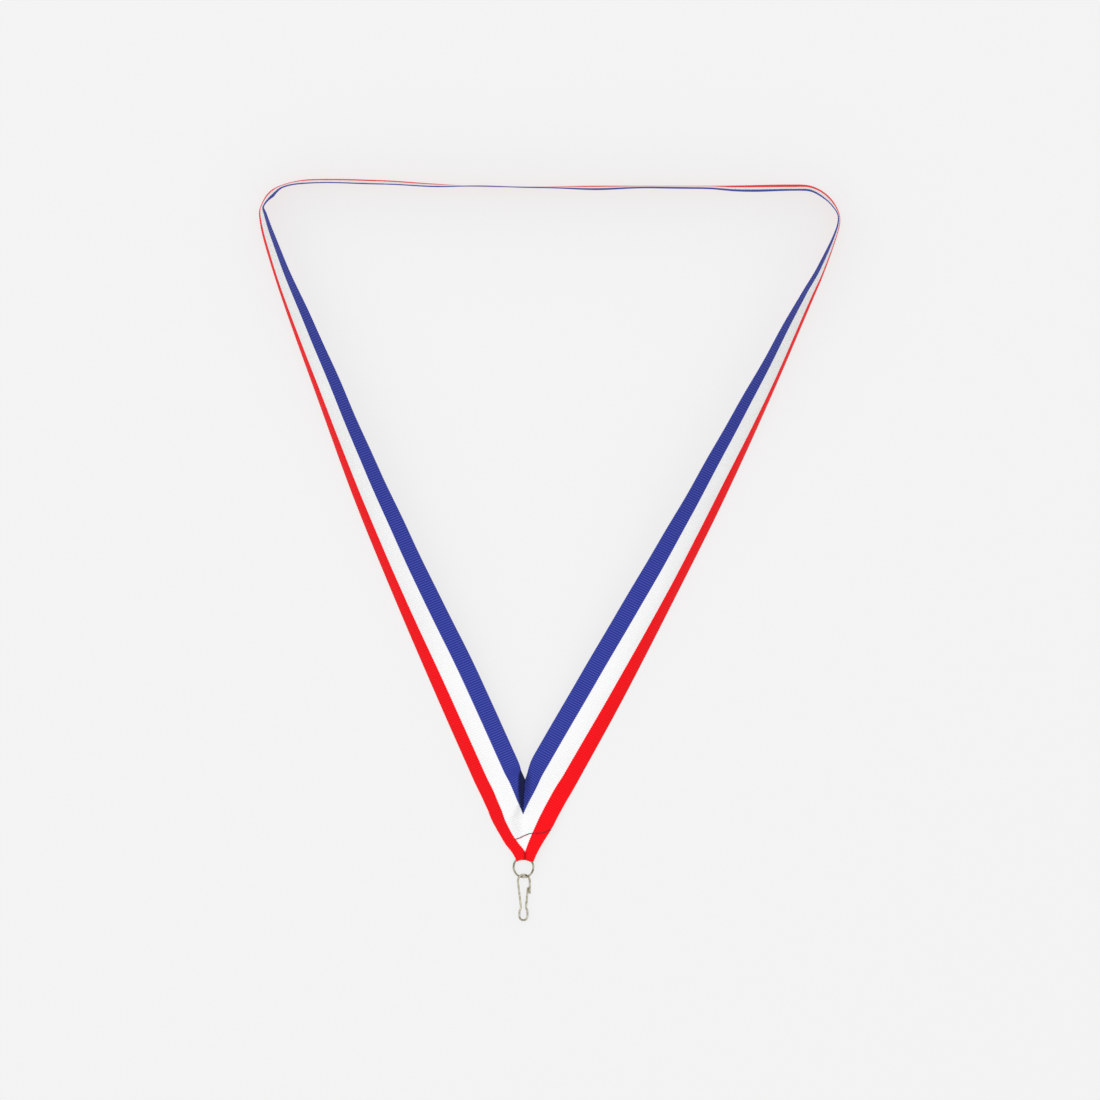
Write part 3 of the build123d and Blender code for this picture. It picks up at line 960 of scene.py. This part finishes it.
def on_cloth(points, cloth, lift):
    """Lifts points on to the top of the cloth below them."""
    found = []
    for x, y in points:
        hit, place, _, _ = cloth.ray_cast(Vector((x, y, 40)) * MM, Vector((0, 0, -1)))
        found.append(Vector((x, y, place.z / MM + lift if hit else 3.0)))
    return found


def cross_line(cloth):
    fold_y = ring_top.y - FOLD_RADIUS
    return on_cloth([(SEAM_X + x, fold_y + y) for x, y in CROSS_HOLES], cloth, THREAD / 2)


def mitre_lines():
    """Needle holes down both sides of the web under the mitre."""
    low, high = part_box("mitre_stitches")
    height = (low.z + high.z) / 2 / MM
    count = int((high.y - low.y) / MM / MITRE_STITCH)
    points, edges = [], []
    for side in (-1, 1):
        for i in range(count + 1):
            along = low.y / MM + i * MITRE_STITCH
            points.append(Vector((SEAM_X + side * MITRE_STITCH_OUT, along, height)))
            if i % 2:
                edges.append((len(points) - 2, len(points) - 1))
    mesh = bpy.data.meshes.new("mitre_stitching")
    mesh.from_pydata([tuple(p * MM) for p in points], edges, [])
    return mesh


# ---------------------------------------------------------------- build

cloth = grosgrain("striped_grosgrain")
thread = sewing_thread("maroon_thread")
ring_nickel = nickel("ring_nickel", (0.44, 0.42, 0.33, 1), (0.19, 0.18, 0.115, 1), 0.16)
clip_nickel = nickel("clip_nickel", (0.56, 0.53, 0.42, 1), (0.31, 0.285, 0.19, 1), 0.14)

ribs = rib_tree()
wire = wire_tree()
stitches = stitch_tree()
rib_values = {"Rib Height": RIB_HEIGHT * MM, "Unevenness": 0.35, "Material": cloth}

point_at = -ring_top.y - POINT_LENGTH
whole_ribbon = thicken(grow("neck_ribbon_cloth", ribbon_mesh(), ribs, rib_values))
ribbon = split_faces("ribbon", whole_ribbon.data, lambda down: down < point_at)
folded_point = split_faces("folded_point", whole_ribbon.data, lambda down: down >= point_at)
bpy.data.objects.remove(whole_ribbon)

allowance = thicken(grow("seam_allowance", seam_allowance_mesh(), ribs, rib_values))

stitch_values = {
    "Thread Radius": THREAD / 2 * MM,
    "Rise": STITCH_RISE * MM,
    "Sink": STITCH_SINK * MM,
    "Material": thread,
}
tail_values = {"Wire Radius": THREAD / 2 * MM, "Step": THREAD_TUBE_STEP * MM, "Material": thread}
holes = cross_line(ribbon)
tail = line_mesh("thread_end", [holes[-1] + Vector(step) for step in THREAD_TAIL], TAIL_BENDS)
cross_stitching = grow("cross_stitching", line_mesh("cross_stitching", holes), stitches, stitch_values)
mitre_stitching = grow("mitre_stitching", mitre_lines(), stitches, stitch_values)
thread_end = grow("thread_end", tail, wire, tail_values)

ring_values = {"Wire Radius": RING_WIRE / 2 * MM, "Step": RING_TUBE_STEP * MM, "Material": ring_nickel}
clip_values = {"Wire Radius": CLIP_WIRE / 2 * MM, "Step": CLIP_TUBE_STEP * MM, "Material": clip_nickel}
ring_wire = grow("ring_wire", ring_line(), wire, ring_values)
clip_hook_wire = grow("clip_hook_wire", clip_line("clip_hook_wire", HOOK_CORNERS), wire, clip_values)
clip_arm_wire = grow("clip_arm_wire", clip_line("clip_arm_wire", ARM_CORNERS), wire, clip_values)

# Bodies, replaced nodes and finishes
for piece, body, nodes, slot in (
    (ribbon, "ribbon", ["neck_ribbon"], "ribbon_cloth"),
    (allowance, "ribbon", [], "ribbon_cloth"),
    (cross_stitching, "ribbon", ["cross_stitches"], "thread"),
    (mitre_stitching, "ribbon", ["mitre_stitches"], "thread"),
    (thread_end, "ribbon", [], "thread"),
    (ring_wire, "ring", ["jump_ring"], "ring_metal"),
    (clip_hook_wire, "clip", ["clip_hook"], "clip_metal"),
):
    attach(piece, body)
    if nodes:
        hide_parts(*nodes)

TURN_ABOVE, TURN_BELOW = 1.3, 0.3  # where the cloth's turn starts above the hinge and ends below it
ARM_FLEX_LENGTH = 3.2
blend_from = (ring_top + Vector((0, TURN_ABOVE, 0))) * MM
blend_to = (ring_top - Vector((0, TURN_BELOW, 0))) * MM
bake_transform(folded_point, "ribbon", "ring", start=blend_from, end=blend_to)
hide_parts("ring_fold")

arm_from = spring_point * MM
arm_to = (spring_point + Vector((0, ARM_FLEX_LENGTH, 0))) * MM
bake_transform(clip_arm_wire, "clip", "clip_arm", start=arm_from, end=arm_to)
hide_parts("clip_arm")

# ---------------------------------------------------------------- floor, light and camera

FLOOR_SIZE = 6.0
FLOOR_DROP = 0.02  # keeps the floor just clear of the cloth
FLOOR_GLOW = 0.82  # how much of the floor's brightness takes no shadow
half = FLOOR_SIZE / 2
corners = [(x * half, y * half, -FLOOR_DROP * MM) for x, y in ((-1, -1), (1, -1), (1, 1), (-1, 1))]
floor_mesh = bpy.data.meshes.new("floor")
floor_mesh.from_pydata(corners, [], [(0, 1, 2, 3)])
floor = new_object("floor", floor_mesh)
pale_floor, start = new_material("pale_floor")
paper = start.make("ShaderNodeBsdfDiffuse", (), {"Color": (0.76, 0.76, 0.76, 1)})
glow = start.make("ShaderNodeEmission", (), {"Color": (0.905, 0.905, 0.905, 1), "Strength": 1.0})
surface(pale_floor, start.make("ShaderNodeMixShader", (), {0: FLOOR_GLOW, 1: paper, 2: glow}))
floor.data.materials.append(pale_floor)

world = bpy.data.worlds.new("soft_studio")
bpy.context.scene.world = world
world.use_nodes = True
world.node_tree.nodes.clear()
sky = Value(world.node_tree)
direction = sky.make("ShaderNodeTexCoord", (), (), 0)
up = sky.make("ShaderNodeSeparateXYZ", (), {0: direction}, 2)
haze = {"Value": up, "From Min": 0.12, "From Max": 0.5, "To Min": 0.1, "To Max": 1.21}
brightness = sky.make("ShaderNodeMapRange", {"interpolation_type": "SMOOTHSTEP"}, haze)
background = sky.make("ShaderNodeBackground", (), {"Color": (1, 1, 1, 1), "Strength": brightness})
world_output = world.node_tree.nodes.new("ShaderNodeOutputWorld")
world.node_tree.links.new(background.socket, world_output.inputs[0])


def softbox(name, place, size, power):
    """A round soft light that points at the middle of the ribbon."""
    light = bpy.data.lights.new(name, "AREA")
    light.shape = "DISK"
    light.size = size
    light.energy = power
    lamp = new_object(name, light)
    lamp.location = place
    lamp.rotation_euler = (-Vector(place)).to_track_quat("-Z", "Y").to_euler()


softbox("softbox_left", (-0.9, 0.5, 1.5), 0.9, 2.2)

CAMERA_HEIGHT = 2.0
FIELD = 0.4565  # the side of the square that the camera takes in on the table
camera = bpy.data.cameras.new("camera")
camera.sensor_width = 36.0
camera.lens = camera.sensor_width * CAMERA_HEIGHT / FIELD
view = new_object("camera", camera)
view.location = (0, 0, CAMERA_HEIGHT)
bpy.context.scene.camera = view
bpy.context.scene.view_settings.view_transform = "Standard"
